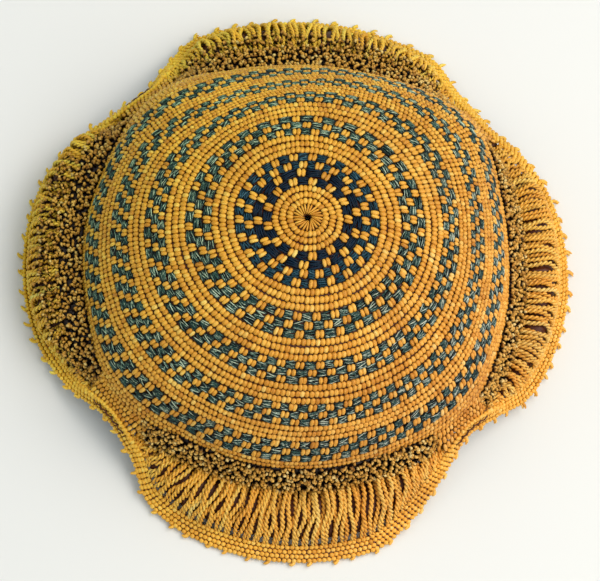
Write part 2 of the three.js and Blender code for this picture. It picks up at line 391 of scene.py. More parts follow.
def raffia(name, look):
    # split palm leaf, dyed and stripped into flat fibres: dull gloss, streaked along the strand,
    # each strand its own tone, with painted shade and a little dirt dark at its root and a painted
    # light tint from side to side
    material, tree, surface = newMaterial(name)
    tone = addNode(tree, "Attribute", attribute_name="tone")
    where = addNode(tree, "TexCoord").outputs["Object"]
    fibres = addFibres(tree, look, tone.outputs["Color"])
    dyed = addDyeAndLightTint(tree, look, tone.outputs["Fac"], fibres, where)
    tree.links.new(addDirtAndRootShade(tree, look, dyed, where), surface.inputs["Base Color"])
    smoothest, roughest = look["roughness"]
    rough = addNode(tree, "MapRange", {"Value": fibres, "To Min": smoothest, "To Max": roughest})
    tree.links.new(rough.outputs["Result"], surface.inputs["Roughness"])
    surface.inputs["IOR"].default_value = 1.5
    surface.inputs["Specular IOR Level"].default_value = look["gloss"]
    bump = addNode(tree, "Bump", {"Height": fibres, "Strength": look["relief"],
                                  "Distance": look["reliefDepth"] * mm})
    tree.links.new(bump.outputs["Normal"], surface.inputs["Normal"])
    return material


ochreLook = {
    "shades": [(0.0, "#a86c1a"), (0.35, "#dd9a36"), (0.65, "#f9c15e"), (1.0, "#ffeab2")],
    "fibresPerMm": (2.6, 0.35),  # across the strand, where one is about 0.4 mm wide, and along it
    "streak": 1.1,  # how far the fibres' shades stand apart
    # the far left in greener painted shade, the near right in warmer painted light, each with some
    # fading
    "farShadeAndFade": "#f2fb8c",
    "nearLightAndFade": "#fff0d2",
    "lightAndFadeWay": (0.72, -0.69, 0.0),  # painted light tint with fading, from the far left to the near right
    "lightAndFadeReach": 100,  # mm from the crown's axis to either end of the painted light tint and fading
    "grime": 0.3,
    "grimeHue": "#a8783c",
    "grimePatch": 15.4,  # mm
    "grimeSpan": (0.35, 0.75),  # of the patches' noise, from clean to worn
    "root": "#501400",
    "rootShadeSpan": (0.42, 0.88),  # painted shade with a little dirt: all root colour below the first rise, none above the second
    "roughness": (0.34, 0.58),
    "gloss": 0.4,
    "relief": 0.8,
    "reliefDepth": 0.25,  # mm
}
# for pieces painted dark all over with shade, which take no extra painted shade at their roots
shadedLook = ochreLook | {"rootShadeSpan": (-1.0, -0.5)}

# the crown's ground: split leaf dyed ochre, with a painted rust-coloured shade in the gaps
ochreRaffia = raffia("ochre dyed raffia", ochreLook)

# the check's floats: a weak blue dye that left green and pale fibres among the dark ones
blueLook = ochreLook | {
    "shades": [(0.0, "#010809"), (0.3, "#0d2a2e"), (0.6, "#376360"), (1.0, "#e4eddd")],
    "fibresPerMm": (2.6, 0.8),
    "streak": 2.0,
    "gloss": 0.25,
    "farShadeAndFade": "#ccf0c8",
    "nearLightAndFade": "#fdf6f6",
    "root": "#050a10",
}
blueRaffia = raffia("blue dyed raffia", blueLook)

# the outer band round the centre: evenly dyed, without the check's painted light tint and fading from
# side to side
slateLook = blueLook | {
    "shades": [(0.0, "#04141c"), (0.4, "#143c4a"), (0.75, "#386878"), (1.0, "#8cb2b2")],
    "streak": 1.5,
    "gloss": 0.2,
    "farShadeAndFade": "#ffffff",
    "nearLightAndFade": "#ffffff",
    "root": "#03080c",
    "grime": 0.1,
}
slateRaffia = raffia("slate blue dyed raffia", slateLook)

# the dark ring at the centre: strong indigo with hardly a pale fibre
indigoRaffia = raffia("indigo dyed raffia", slateLook | {
    "shades": [(0.0, "#000f1c"), (0.5, "#042c46"), (0.85, "#124a66"), (1.0, "#5490a2")],
    "streak": 1.3,
    "root": "#03050b",
})

# the loops' tops are gold, their lower halves are painted dark with shade
pileRaffia = raffia("pile raffia, gold over painted shade", ochreLook | {
    "shades": [(0.0, "#a8782a"), (0.4, "#e0b050"), (0.75, "#fbd47c"), (1.0, "#fff0b8")],
    "farShadeAndFade": "#e6dca4",
    "root": "#210a02",
    "rootShadeSpan": (0.46, 1.0),
})

# plied cord, paler than the crown since it has been handled less, with painted shade between its plies
cordRaffia = raffia("two-ply raffia cord", ochreLook | {
    "shades": [(0.0, "#d2923a"), (0.4, "#ffc862"), (0.7, "#ffe28e"), (1.0, "#fff8d6")],
    "farShadeAndFade": "#f0f486",
    "nearLightAndFade": "#ffe8b4",
    "root": "#4c1200",
    "rootShadeSpan": (0.24, 0.74),
})

# the border and its picots: the yellowest leaf, nearly clean, with less painted shade at the roots
borderRaffia = raffia("yellow raffia hitching", ochreLook | {
    "shades": [(0.0, "#cc9230"), (0.35, "#f4bc4c"), (0.65, "#ffd266"), (1.0, "#ffeea6")],
    "rootShadeSpan": (0.2, 0.6),
})

# the cords under the upper ones: their colour is painted deep shade
shadedCordRaffia = raffia("raffia cord in deep shadow", shadedLook | {
    "shades": [(0.0, "#341403"), (0.6, "#5a2a0a"), (1.0, "#7c4618")],
})

# the coiled core seen between the hitches, painted dark with the shade in the gaps
shellRaffia = raffia("raffia core in shadow", shadedLook | {
    "shades": [(0.0, "#3c1505"), (0.5, "#5a220a"), (1.0, "#7a3c14")],
})

# the ground the loops grow from, painted dark with the shade among the loops
pileShadeRaffia = raffia("raffia ground in deep shadow", shadedLook | {
    "shades": [(0.0, "#0c0402"), (0.6, "#200c04"), (1.0, "#361a0a")],
})


def finishPiece(piece, materials, node):
    for material in materials:
        piece.data.materials.append(material)
    piece.data.shade_smooth()
    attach(piece, "root")
    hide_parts(node)
    triangles = sum(polygon.loop_total - 2 for polygon in piece.data.polygons)
    print(piece.name, triangles, "triangles")


def setAttribute(mesh, name, values):
    data = mesh.attributes.new(name, "FLOAT", "POINT").data
    data.foreach_set("value", np.asarray(values, np.float32))


def buildPiece(name, points, loops, sizes, uv, tone, rise, slots=None):
    # a mesh from whole arrays: points, the corners' points, the faces' sizes and the maps
    mesh = bpy.data.meshes.new(name)
    mesh.vertices.add(len(points))
    mesh.vertices.foreach_set("co", np.asarray(points, np.float32).ravel())
    mesh.loops.add(len(loops))
    mesh.loops.foreach_set("vertex_index", np.asarray(loops, np.int32))
    mesh.polygons.add(len(sizes))
    starts = np.concatenate([[0], np.cumsum(sizes)[:-1]])
    mesh.polygons.foreach_set("loop_start", np.asarray(starts, np.int32))
    if slots is not None:
        mesh.polygons.foreach_set("material_index", np.asarray(slots, np.int32))
    mesh.update(calc_edges=True)
    layer = mesh.uv_layers.new(name="strand")
    layer.data.foreach_set("uv", np.asarray(uv, np.float32)[loops].ravel())
    setAttribute(mesh, "tone", tone)
    setAttribute(mesh, "rise", rise)
    piece = bpy.data.objects.new(name, mesh)
    bpy.context.scene.collection.objects.link(piece)
    return piece


def stampCopies(name, model, spots):
    # one piece of many copies of a modelled one, which fills a box one unit each way;
    # a spot has a point, the box's three sides as vectors, and a tone
    mesh = model.data
    shape = np.array([v.co[:] for v in mesh.vertices])
    faces = [list(polygon.vertices) for polygon in mesh.polygons]
    starts = [face.index(min(face)) for face in faces]
    # a primitive's faces come in any order, so they are put in one that every run repeats
    faces = sorted(face[start:] + face[:start] for face, start in zip(faces, starts))
    corners = np.concatenate(faces)
    sizes = np.array([len(face) for face in faces])
    count = len(spots["point"])
    points = spots["point"][:, None, :]
    for axis, side in enumerate(("across", "along", "up")):
        points = points + shape[None, :, axis, None] * spots[side][:, None, :]
    width = np.linalg.norm(spots["across"], axis=1)[:, None] / mm
    length = np.linalg.norm(spots["along"], axis=1)[:, None] / mm
    uv = np.stack([shape[None, :, 0] * width, shape[None, :, 1] * length], axis=-1)
    loops = (corners[None] + np.arange(count)[:, None] * len(shape)).ravel()
    tone = np.repeat(spots["tone"], len(shape))
    # how high each point stands in its copy, which sets the painted shade at its root
    rise = np.tile(shape[:, 2] + 0.5, count)
    return buildPiece(name, points.reshape(-1, 3), loops, np.tile(sizes, count),
                      uv.reshape(-1, 2), tone, rise)


def pathLength(paths):
    # the way along each path to each of its points, in mm
    steps = np.linalg.norm(np.diff(paths, axis=1, prepend=paths[:, :1]), axis=-1)
    return np.cumsum(steps, axis=1) / mm


def tubeFaces(count, stations, corners):
    # the faces of closed tubes: a sleeve of quads between the rings of points, and two caps
    ring = np.arange(corners)
    after = np.roll(ring, -1)
    cell = np.stack([ring, ring + corners, after + corners, after], axis=-1)
    sleeve = (cell[None] + np.arange(stations - 1)[:, None, None] * corners).reshape(-1)
    tube = np.concatenate([sleeve, ring, ring[::-1] + (stations - 1) * corners])
    loops = (tube[None] + np.arange(count)[:, None] * stations * corners).ravel()
    return loops, np.tile([4] * ((stations - 1) * corners) + [corners] * 2, count)


def sweepStrands(name, paths, facing, section, tone, twist=None, rise=None, slots=None):
    # tubes of one section along many paths; paths and facing are (strands, points, 3),
    # section is (points or 1, corners, 2) in metres, twist turns it along each path
    count, stations = paths.shape[:2]
    corners = section.shape[1]
    along = unit(np.gradient(paths, axis=1))
    side = unit(np.cross(along, facing))
    up = np.cross(side, along)
    section = np.broadcast_to(section, (stations, corners, 2))[None]
    turn = np.zeros((count, stations)) if twist is None else twist
    cos, sin = np.cos(turn)[..., None], np.sin(turn)[..., None]
    x = section[..., 0] * cos - section[..., 1] * sin
    y = section[..., 0] * sin + section[..., 1] * cos
    points = (paths[:, :, None, :] + x[..., None] * side[:, :, None, :]
              + y[..., None] * up[:, :, None, :])
    loops, sizes = tubeFaces(count, stations, corners)
    girth = np.linalg.norm(section[0, 0, 1] - section[0, 0, 0]) * np.arange(corners)
    uv = np.stack(np.broadcast_arrays(girth / mm, pathLength(paths)[..., None]), axis=-1)
    rise = np.ones((count, stations, 1)) if rise is None else rise
    rise = np.broadcast_to(rise, (count, stations, corners))
    faceSlots = None if slots is None else np.repeat(slots, (stations - 1) * corners + 2)
    return buildPiece(name, points.reshape(-1, 3), loops, sizes, uv.reshape(-1, 2),
                      np.repeat(tone, stations * corners), rise.ravel(), faceSlots)


def ellipse(corners, width, height):
    turn = np.arange(corners) / corners * fullTurn
    return np.stack([np.cos(turn) * width / 2, np.sin(turn) * height / 2], axis=-1)[None] * mm


def twoPly(corners, wide, narrow, waist):
    # the section of a cord whose two plies lie side by side
    turn = np.arange(corners) / corners * fullTurn
    pinch = 1 - waist * np.abs(np.sin(turn)) ** 3
    return np.stack([np.cos(turn) * wide / 2, np.sin(turn) * narrow / 2 * pinch], axis=-1)[None] * mm


def plyTwist(rng, paths, pitch):
    # a full turn of the plies for each pitch of yarn, each strand from its own start
    return pathLength(paths) / pitch * fullTurn + rng.uniform(0, fullTurn, (len(paths), 1))


wallWork = {
    "radius": 90,  # mm, which turns the azimuth into mm for the map
    "weld": 0.01,  # mm
}


def wrapWall(name, columns, rings):
    # a closed wall round the cap: a flat grid is wrapped so that its rows follow the rings,
    # each a function of azimuth, out along the upper face and back along the lower one
    bpy.ops.object.select_all(action="DESELECT")
    bpy.ops.mesh.primitive_grid_add(x_subdivisions=columns, y_subdivisions=len(rings), size=2)
    wall = bpy.context.object
    wall.name = wall.data.name = name
    mesh = wall.data
    grid = np.array([v.co[:] for v in mesh.vertices])
    row = np.rint((grid[:, 1] + 1) / 2 * len(rings)).astype(int)
    azimuth = (grid[:, 0] + 1) / 2 * fullTurn
    for k in range(len(rings) + 1):
        chosen = row == k
        grid[chosen] = rings[k % len(rings)](azimuth[chosen])
    mesh.vertices.foreach_set("co", grid.astype(np.float32).ravel())
    bpy.ops.object.mode_set(mode="EDIT")
    bpy.ops.mesh.select_all(action="SELECT")
    bpy.ops.mesh.remove_doubles(threshold=wallWork["weld"] * mm)
    bpy.ops.mesh.normals_make_consistent(inside=False)
    bpy.ops.object.mode_set(mode="OBJECT")
    places = (np.array([v.co[:] for v in mesh.vertices]) - crownAxis) / mm
    turned = np.arctan2(places[:, 1], places[:, 0]) * wallWork["radius"]
    loops = np.array([loop.vertex_index for loop in mesh.loops])
    uv = np.stack([turned, np.hypot(places[:, 0], places[:, 1])], axis=-1)[loops]
    mesh.uv_layers.active.name = "strand"
    mesh.uv_layers["strand"].data.foreach_set("uv", uv.astype(np.float32).ravel())
    setAttribute(mesh, "tone", np.full(len(places), 0.5))
    setAttribute(mesh, "rise", np.ones(len(places)))
    return wall


def wrapSlab(name, columns, zone, shares, top, bottom, ridges=0):
    # a closed slab in one zone of the brim; each face has a lift and the height of its ridges
    def ring(share, lift, ridge):
        return lambda azimuth: brimPlace(zone, azimuth, share,
                                         lift + ridge * np.cos(azimuth * ridges))[0]

    shares = np.linspace(*shares)
    return wrapWall(name, columns, [ring(share, *top) for share in shares]
                    + [ring(share, *bottom) for share in shares[::-1]])


hitchForm = {
    "segments": 7,
    "rings": 5,
    "roll": 180 / 14,  # degrees, so that a flat and not an edge faces out
    "endsSpan": (0.3, 0.48),  # its ends are blunted from here to here, of a length of 1
    "endsSize": (1.15, 1, 1.12),
    "backFrom": -0.25,  # and its back is flattened from here down, against the core
    "backSize": (1, 1, 0.6),
}


def resizeWhere(hitch, chosen, size):
    bpy.ops.object.mode_set(mode="EDIT")
    bpy.ops.mesh.select_all(action="DESELECT")
    bpy.ops.object.mode_set(mode="OBJECT")
    for vertex in hitch.data.vertices:
        vertex.select = chosen(vertex.co)
    bpy.ops.object.mode_set(mode="EDIT")
    bpy.ops.transform.resize(value=size, center_override=(0, 0, 0))
    bpy.ops.object.mode_set(mode="OBJECT")


def modelHitch(name):
    # one wrap of raffia, modelled once: a pillow on its side with a flat back against the core
    bpy.ops.object.select_all(action="DESELECT")
    bpy.ops.mesh.primitive_uv_sphere_add(segments=hitchForm["segments"], ring_count=hitchForm["rings"],
                                         radius=0.5,
                                         rotation=(math.pi / 2, math.radians(hitchForm["roll"]), 0))
    hitch = bpy.context.object
    hitch.name = name
    bpy.ops.object.transform_apply(location=False, rotation=True, scale=False)
    low, high = hitchForm["endsSpan"]
    resizeWhere(hitch, lambda place: low < abs(place.y) < high, hitchForm["endsSize"])
    resizeWhere(hitch, lambda place: place.z < hitchForm["backFrom"], hitchForm["backSize"])
    return hitch


crownWork = {
    "seed": 11,
    "hole": 1.6,
    "sink": -0.85,  # the wraps' middles, below the crown's outer face
    "thickness": 2.3,
    "stitch": 2.0,  # width of one wrap
    "centreStitch": 1.84,
    "centre": 20.0,  # the narrower wraps lie above this depth
    "pair": 3.6,  # width of the ochre wraps between two blue blocks
    "lean": 11.0,  # degrees
    "wobble": 4.0,
    "waver": 0.09,  # mm down the slope, and out from it
    "swell": 0.06,
    "bands": [  # what each is, where it ends down the slope in mm, its rows and its blue blocks
        ("petals", 6.0, 1, 0), ("plain", 14.9, 3, 0), ("indigo", 22.7, 2, 13),
        ("slate", 30.4, 2, 23), ("plain", 40.2, 3, 0), ("check", 51.2, 3, 34),
        ("plain", 60.4, 3, 0), ("check", 69.9, 3, 47), ("plain", 78.6, 3, 0),
        ("check", 88.4, 3, 62), ("plain", 96.2, 3, 0), ("check", 108.2, 3, 67),
        ("plain", 146.0, 14, 0)],
    "fullGirth": 118.0,  # rows further down than this are no longer
    "parts": {"upper": 72.0, "middle": 100.0, "lower": 146.0},  # the pieces, and where each ends
    "blockScatter": 0.022,  # of the way to the next block
    "drift": (0.34, 0.6, 30),  # how much of that way a row steps on, least, most and where, in degrees
    "overhang": 0.4,  # how much of a wrap may hang past the crown's foot
    "petals": 24,
    "petalTaper": (0.62, 0.72),  # a petal's width at its middle, and how it grows away from the hole
    "crowding": {  # how much wider and longer than their places the wraps are
        "petals": (1.55, 1.2), "plain": (1.28, 1.03), "pairs": (1.25, 1.03), "tucks": (1.05, 1.08)},
}

# the coil isn't even: how far its rows stand lower, in mm, at three depths down the slope
unevenDepths = (45.0, 64.0, 84.0, 102.0)
unevenRows = np.array([
    (0, -0.5, -4, -5), (15, 1, -2, -2.5), (30, 2.5, 1.5, 0.5), (45, 4, 2, -1),
    (60, 3.5, 0, -5.5), (75, 2, -4, -10), (90, 0, -9, -15.5), (105, -2, -11, -17),
    (120, -3, -11.5, -17), (130, -3, -9.5, -13.5), (140, -2, -6, -7), (150, -1, -2, 0),
    (165, 0, 0, 1), (180, 0, 0, 1), (225, 0, 0, 0.5), (270, 0, 0, 0), (315, 0, -1, -1.5),
    (345, -1, -3.5, -6.5),
])


def coilPlace(walked, azimuth):
    # where a row of the uneven coil lies down the slope
    k = min(max(np.searchsorted(unevenDepths, walked) - 1, 0), len(unevenDepths) - 2)
    share = np.clip((walked - unevenDepths[k]) / (unevenDepths[k + 1] - unevenDepths[k]), 0, 1)
    above = roundCurve(unevenRows, k, azimuth) if k else 0.0
    return walked + above * (1 - share) + roundCurve(unevenRows, k + 1, azimuth) * share


def checkDrift(azimuth):
    # checks stand like bricks at the right and step aside towards the left
    least, most, mostAt = crownWork["drift"]
    middle = (least + most) / 2
    return middle + (most - middle) * np.cos(azimuth - math.radians(mostAt))


def crownRows():
    # each row's kind, middle, depth, girth and, between blue blocks, its pairs of ochre wraps
    rng = np.random.default_rng(crownWork["seed"])
    rows, start = [], crownWork["hole"]
    for kind, end, count, blocks in crownWork["bands"]:
        depth = (end - start) / count
        for turn in range(count):
            walked = start + depth * (turn + 0.5)
            middle = crownPlace(0.0, min(walked, crownWork["fullGirth"]))[0][0] - crownAxis
            row = {"kind": kind, "walked": walked, "depth": depth,
                   "girth": np.hypot(*middle[:2]) / mm * fullTurn,
                   "turn": turn, "wave": rng.uniform(0, fullTurn, 3)}
            if blocks:
                period = fullTurn / blocks
                pairs = np.arange(blocks) * period
                pairs = pairs - checkDrift(pairs) * turn * period
                pairs = pairs + rng.normal(0, crownWork["blockScatter"], blocks) * period
                row["pairs"] = np.sort(np.mod(pairs, fullTurn))
            rows.append(row)
        start = end
    return rows


def rowDepth(row, azimuth):
    half = row["depth"] / 2
    return coilPlace(row["walked"] + half, azimuth) - coilPlace(row["walked"] - half, azimuth)


def rowPlace(row, azimuth, across=0.0, lift=0.0):
    # a place in a row, across it from -0.5 to 0.5; rows waver a little as hand work does
    phase = row["wave"]
    waver = (np.sin(azimuth * 5 + phase[0]) + np.sin(azimuth * 11 + phase[1])) * crownWork["waver"]
    swell = np.sin(azimuth * 17 + phase[2]) * crownWork["swell"]
    walked = coilPlace(row["walked"], azimuth) + across * rowDepth(row, azimuth) + waver
    return crownPlace(azimuth, walked, lift + swell)


def aboveFoot(row, azimuth, margin):
    # whether the row's middle lies above the crown's foot with this much to spare, in mm
    return crownLength(azimuth) > coilPlace(row["walked"], azimuth) + margin


# how unevenly wraps are laid: spreads as parts of their size, and ranges that scale it
handWork = {
    "shift": 0.04,
    "slip": 0.03,
    "width": (0.94, 1.08),
    "length": (0.95, 1.05),
    "thickness": (0.9, 1.1),
    "tone": (0.53, 0.11),
}


def tones(rng, spread, count):
    return np.clip(rng.normal(*spread, count), 0, 1)


def hitchSpots(rng, place, width, length, look):
    # spots for wraps laid side by side; width and length in mm
    point, normal, down = place
    count = len(point)
    side = np.cross(down, normal)
    width = np.broadcast_to(width, count)[:, None] * mm
    length = np.broadcast_to(length, count)[:, None] * mm
    turn = np.radians(look["lean"] + rng.normal(0, look["wobble"], count))[:, None]
    shift = rng.normal(0, handWork["shift"], (count, 1)) * width
    slip = rng.normal(0, handWork["slip"], (count, 1)) * length
    wide = width * rng.uniform(*handWork["width"], (count, 1))
    long = length * rng.uniform(*handWork["length"], (count, 1))
    return {
        "point": point + side * shift + down * slip,
        "across": (side * np.cos(turn) - down * np.sin(turn)) * wide,
        "along": (down * np.cos(turn) + side * np.sin(turn)) * long,
        "up": normal * look["thickness"] * rng.uniform(*handWork["thickness"], (count, 1)) * mm,
        "tone": tones(rng, handWork["tone"], count),
    }


def spaced(count, row=0, jitter=0.0):
    # azimuths evenly round the cap, every other row half a step on
    return (np.arange(count) + 0.5 * (row % 2) + jitter) / count * fullTurn


def joinSpots(spots):
    return {key: np.concatenate([spot[key] for spot in spots]) for key in spots[0]}


def rowHitches(rng, row):
    # the ochre wraps of one row: all round, or in pairs between the blue blocks
    if "pairs" in row:
        crowding = crownWork["crowding"]["pairs"]
        width = crownWork["pair"] / 2
        half = width / 2 / row["girth"] * fullTurn
        azimuth = np.stack([row["pairs"] - half, row["pairs"] + half], axis=1).ravel()
    else:
        crowding = crownWork["crowding"][row["kind"]]
        stitch = crownWork["centreStitch" if row["walked"] < crownWork["centre"] else "stitch"]
        count = crownWork["petals"] if row["kind"] == "petals" else round(row["girth"] / stitch)
        width = row["girth"] / count
        azimuth = spaced(count, row["turn"])
    depth = rowDepth(row, azimuth)
    kept = aboveFoot(row, azimuth, -crownWork["overhang"] * depth)
    place = rowPlace(row, azimuth[kept], 0.0, crownWork["sink"])
    return hitchSpots(rng, place, width * crowding[0], depth[kept] * crowding[1], crownWork)


tuckWork = {
    "rows": 3,
    "radius": 99.0,
    "open": 0.55,  # the pile takes over where a tuck is as open as this
    "sink": -0.51,  # the wraps' middles, below the slope
}


def tuckHitches(rng):
    # rows of the same wraps close the tucks between the foot and the border
    spots = []
    rows = tuckWork["rows"]
    wider, longer = crownWork["crowding"]["tucks"]
    for k in range(rows):
        count = round(fullTurn * tuckWork["radius"] / crownWork["stitch"])
        azimuth = spaced(count, k)
        azimuth = azimuth[openness(azimuth) < tuckWork["open"]]
        slope = brimPlace("tuck", azimuth, 1.0)[0] - brimPlace("tuck", azimuth, 0.0)[0]
        length = np.linalg.norm(slope, axis=1) / mm / rows
        place = brimPlace("tuck", azimuth, (k + 0.5) / rows, tuckWork["sink"])
        spots.append(hitchSpots(rng, place, crownWork["stitch"] * wider, length * longer, crownWork))
    return spots


def buildCrownHitches(rows):
    rng = np.random.default_rng(crownWork["seed"] + 1)
    parts = {part: [] for part in crownWork["parts"]}
    petals = rowHitches(rng, rows[0])
    for row in rows[1:]:
        part = next(part for part, end in crownWork["parts"].items() if row["walked"] < end)
        parts[part].append(rowHitches(rng, row))
    parts["lower"] += tuckHitches(rng)

    hitch = modelHitch("hitch")
    for part, spots in parts.items():
        piece = stampCopies("crown_hitches_" + part, hitch, joinSpots(spots))
        finishPiece(piece, [ochreRaffia], "crown")
    middle, growth = crownWork["petalTaper"]
    for vertex in hitch.data.vertices:
        vertex.co.x *= middle + growth * vertex.co.y
    piece = stampCopies("crown_rosette", hitch, petals)
    finishPiece(piece, [ochreRaffia], "crown")
    bpy.data.objects.remove(hitch)


# what shows of each block between the ochre pairs: dark strands, and thinner pale ones on them
floatWork = {
    "dark": {"strands": 4, "width": 0.95, "height": 0.95, "skew": 0.13, "rise": 0.6, "sink": -0.85,
             "corners": 5, "tones": (0.0, 0.62)},
    "pale": {"strands": 4, "width": 0.46, "height": 0.38, "skew": 0.16, "rise": 0.7, "sink": -0.62,
             "corners": 4, "tones": (0.45, 1.0)},
    "marl": {"indigo": 0.4, "slate": 0.75, "check": 1.0},  # how pale a block's thin strands are
    "stations": 4,
    "lanes": 0.96,  # of the row's depth
    "laneSpread": 0.03,
    "laneEnd": 0.46,  # no strand strays further than this from the row's middle
    "loose": (60.0, 1.5),  # below this depth strands cross this much more
    "tuckIn": 0.4,  # of an ochre pair's width, from its middle to where the strands dive under
    "hump": (0.25, 1.0),  # of a strand's rise at its ends and its middle
    "humps": (0.75, 1.15),
    "camber": 1.4,  # how much lower the strands at a row's edges lie
    "footMargin": 0.35,  # of a row's depth
    "diveShade": 0.35,  # painted shade where they dive under
}


def rowFloats(rng, row, lane, look, steps):
    # one strand over each of a row's blocks: its points, its normals, and which lie above the foot
    pairs = row["pairs"]
    blocks = len(pairs)
    tuckIn = crownWork["pair"] * floatWork["tuckIn"] / row["girth"] * fullTurn
    first = pairs[:, None] + tuckIn
    last = np.append(pairs[1:], pairs[0] + fullTurn)[:, None] - tuckIn
    looseBelow, looseness = floatWork["loose"]
    looseness = 1.0 if row["walked"] < looseBelow else looseness
    skew = rng.normal(0, look["skew"] * looseness, (blocks, 1))
    across = lane + rng.normal(0, floatWork["laneSpread"], (blocks, 1)) + skew * (steps - 0.5) * 2
    across = np.clip(across, -floatWork["laneEnd"], floatWork["laneEnd"])
    hump = np.interp(np.sin(steps * math.pi), (0, 1), floatWork["hump"])
    hump = hump * rng.uniform(*floatWork["humps"], (blocks, 1))
    lift = look["sink"] + look["rise"] * hump * (1 - (across * floatWork["camber"]) ** 2)
    azimuth = first + (last - first) * steps
    kept = aboveFoot(row, azimuth.ravel(), floatWork["footMargin"] * row["depth"])
    kept = kept.reshape(azimuth.shape).all(axis=1)
    point, normal, _ = rowPlace(row, azimuth.ravel(), across.ravel(), lift.ravel())
    shape = (*azimuth.shape, 3)
    return point.reshape(shape)[kept], normal.reshape(shape)[kept]


def buildBlueFloats(rows):
    rng = np.random.default_rng(crownWork["seed"] + 2)
    kinds = ("check", "indigo", "slate")
    steps = np.linspace(0, 1, floatWork["stations"])[None]
    for name in ("dark", "pale"):
        look = floatWork[name]
        paths, facing, tone, slot = [], [], [], []
        for row in rows:
            if "pairs" not in row:
                continue
            for k in range(look["strands"]):
                lane = ((k + 0.5) / look["strands"] - 0.5) * floatWork["lanes"]
                points, normals = rowFloats(rng, row, lane, look, steps)
                paths.append(points)
                facing.append(normals)
                tone.append(rng.uniform(*look["tones"], len(points)) * floatWork["marl"][row["kind"]])
                slot.append(np.full(len(points), kinds.index(row["kind"])))
        # painted shade at the strands' ends, where they dive under
        rise = np.interp(np.sin(steps * math.pi), (0, 1), (floatWork["diveShade"], 1))[..., None]
        piece = sweepStrands("crown_floats_" + name, np.concatenate(paths), np.concatenate(facing),
                             ellipse(look["corners"], look["width"], look["height"]),
                             np.concatenate(tone), None, rise, np.concatenate(slot))
        finishPiece(piece, [blueRaffia, indigoRaffia, slateRaffia], "crown")


shellWork = {
    "outside": -1.15,  # lifts from the crown's outer face
    "inside": -2.65,
    "ridge": 0.3,
    "ridgeWidth": 3.1,
    "outerRings": 24,
    "innerRings": 145,
    "columns": 112,
}


def buildCrownShell():
    # the coiled core under the wraps, plain outside and ridged by its rows inside
    def ring(share, lift, ridge=0.0):
        def placeRing(azimuth):
            walked = crownWork["hole"] + (crownLength(azimuth) - crownWork["hole"]) * share
            ridged = lift + ridge * np.cos(walked / shellWork["ridgeWidth"] * fullTurn)
            return crownPlace(azimuth, walked, ridged)[0]
        return placeRing

    outer = [ring(share, shellWork["outside"]) for share in np.linspace(0, 1, shellWork["outerRings"])]
    inner = [ring(share, shellWork["inside"], shellWork["ridge"])
             for share in np.linspace(1, 0, shellWork["innerRings"])]
    shell = wrapWall("crown_shell", shellWork["columns"], outer + inner)
    finishPiece(shell, [shellRaffia], "crown")


pileWork = {
    "seed": 23,
    "rows": 8,
    "radius": 98.0,
    "spacing": 1.85,
    "shut": 0.12,  # no loops grow where a tuck is less open than this
    # where the pile runs on over the cords: middle, half width and ragged ends in degrees, and rows
    "overCords": [(186.0, 30.0, 4.0, 3), (88.0, 30.0, 5.0, 2)],
    "sunk": -0.5,  # the loops' feet, from the pile's face
    "onCords": 0.4,
    "cordShare": 0.75,  # the pile's width as a share of the cords' way to the border
    "height": 2.6,
    "heights": (0.72, 1.15),
    "shutHeight": 0.4,  # of that height, where a tuck is all but shut
    "width": 1.15,  # between a loop's legs
    "widths": (0.75, 1.35),
    "blunt": 0.75,  # the power that rounds a loop's top
    "tilt": 0.34,  # spreads of how far loops lean, and stray from their own planes in mm
    "stray": 0.45,
    "start": 0.35,  # of a row's depth, from its upper edge to its loops
    "scatter": (0.3, 0.07),  # along the row, of the spacing, and across it, of the pile's width
    "yarn": (1.3, 1.1),
    "waist": 0.2,
    "corners": 5,
    "stations": 6,
    "twist": 4.2,  # mm of yarn for one full turn of its plies
    "tone": (0.55, 0.22),
    "groundColumns": 240,
    "groundShares": (0.02, 0.98, 7),  # from, to and rings
    "groundTop": (-0.3, 0),  # lift and ridge
    "groundBottom": (-1.5, 0),
}


def loopPaths(rng, place, height):
    # loops that stand up from their places at odd angles: their points and their facing
    base, normal, down = place
    count, stations = len(base), pileWork["stations"]
    steps = np.linspace(0, 1, stations)[None, :, None]
    side = np.cross(down, normal)
    height = height * rng.uniform(*pileWork["heights"], count)
    tilt = rng.normal(0, pileWork["tilt"], (2, count, 1))
    up = unit(normal + tilt[0] * side + tilt[1] * down)
    turn = rng.uniform(0, math.pi, count)[:, None]
    across = unit(np.cross(down * np.cos(turn) + side * np.sin(turn), up))
    through = np.cross(up, across)[:, None]
    width = pileWork["width"] * rng.uniform(*pileWork["widths"], (count, 1, 1)) / 2
    stray = rng.normal(0, pileWork["stray"], (count, 1, 1)) * np.sin(steps * math.pi)
    route = (across[:, None] * -np.cos(steps * math.pi) * width
             + up[:, None] * np.sin(steps * math.pi) ** pileWork["blunt"] * height[:, None, None]
             + through * stray)
    return base[:, None] + route * mm, np.repeat(through, stations, axis=1)


